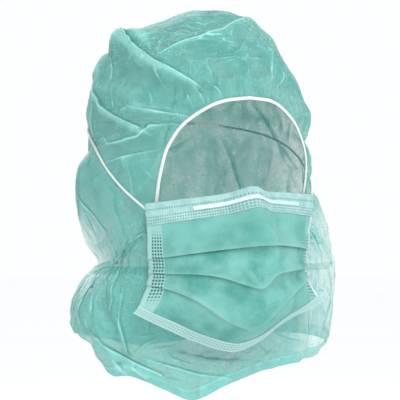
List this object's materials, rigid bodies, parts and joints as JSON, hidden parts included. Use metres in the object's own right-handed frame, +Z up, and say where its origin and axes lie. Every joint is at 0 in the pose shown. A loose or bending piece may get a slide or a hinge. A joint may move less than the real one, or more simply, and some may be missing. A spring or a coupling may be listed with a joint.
{
  "type": "astronaut hood with mask",
  "caption": "Disposable non-woven surgical hood that covers head, ears and neck, with an elastic-edged face opening and a built-in pleated face mask with nose strip and head elastic.",
  "frame": {"origin": "inner face of the crown, where it sits on the top of the head", "axes": "+Z up, the face opening looks along -Y, the wearer's right is -X"},
  "size_m": [0.2169, 0.2188, 0.2965],
  "materials": {
    "green_nonwoven": "thin translucent spunbond non-woven, matte with a faint fibre sheen",
    "mask_ply": "three-ply non-woven, matte, pressed pleats",
    "mint_binding": "spunbond binding strip with rows of weld dots",
    "nose_strip": "white strip under thin cloth, smooth",
    "white_elastic": "white knitted elastic cord, matte"
  },
  "bodies": {
    "root": {"hood_crown": "green_nonwoven", "neck_cape": "green_nonwoven", "face_binding": "white_elastic", "mask_body": "mask_ply", "mask_top_binding": "mint_binding", "mask_bottom_binding": "mint_binding", "nose_strip": "nose_strip", "head_elastic": "white_elastic"}
  },
  "joints": []
}
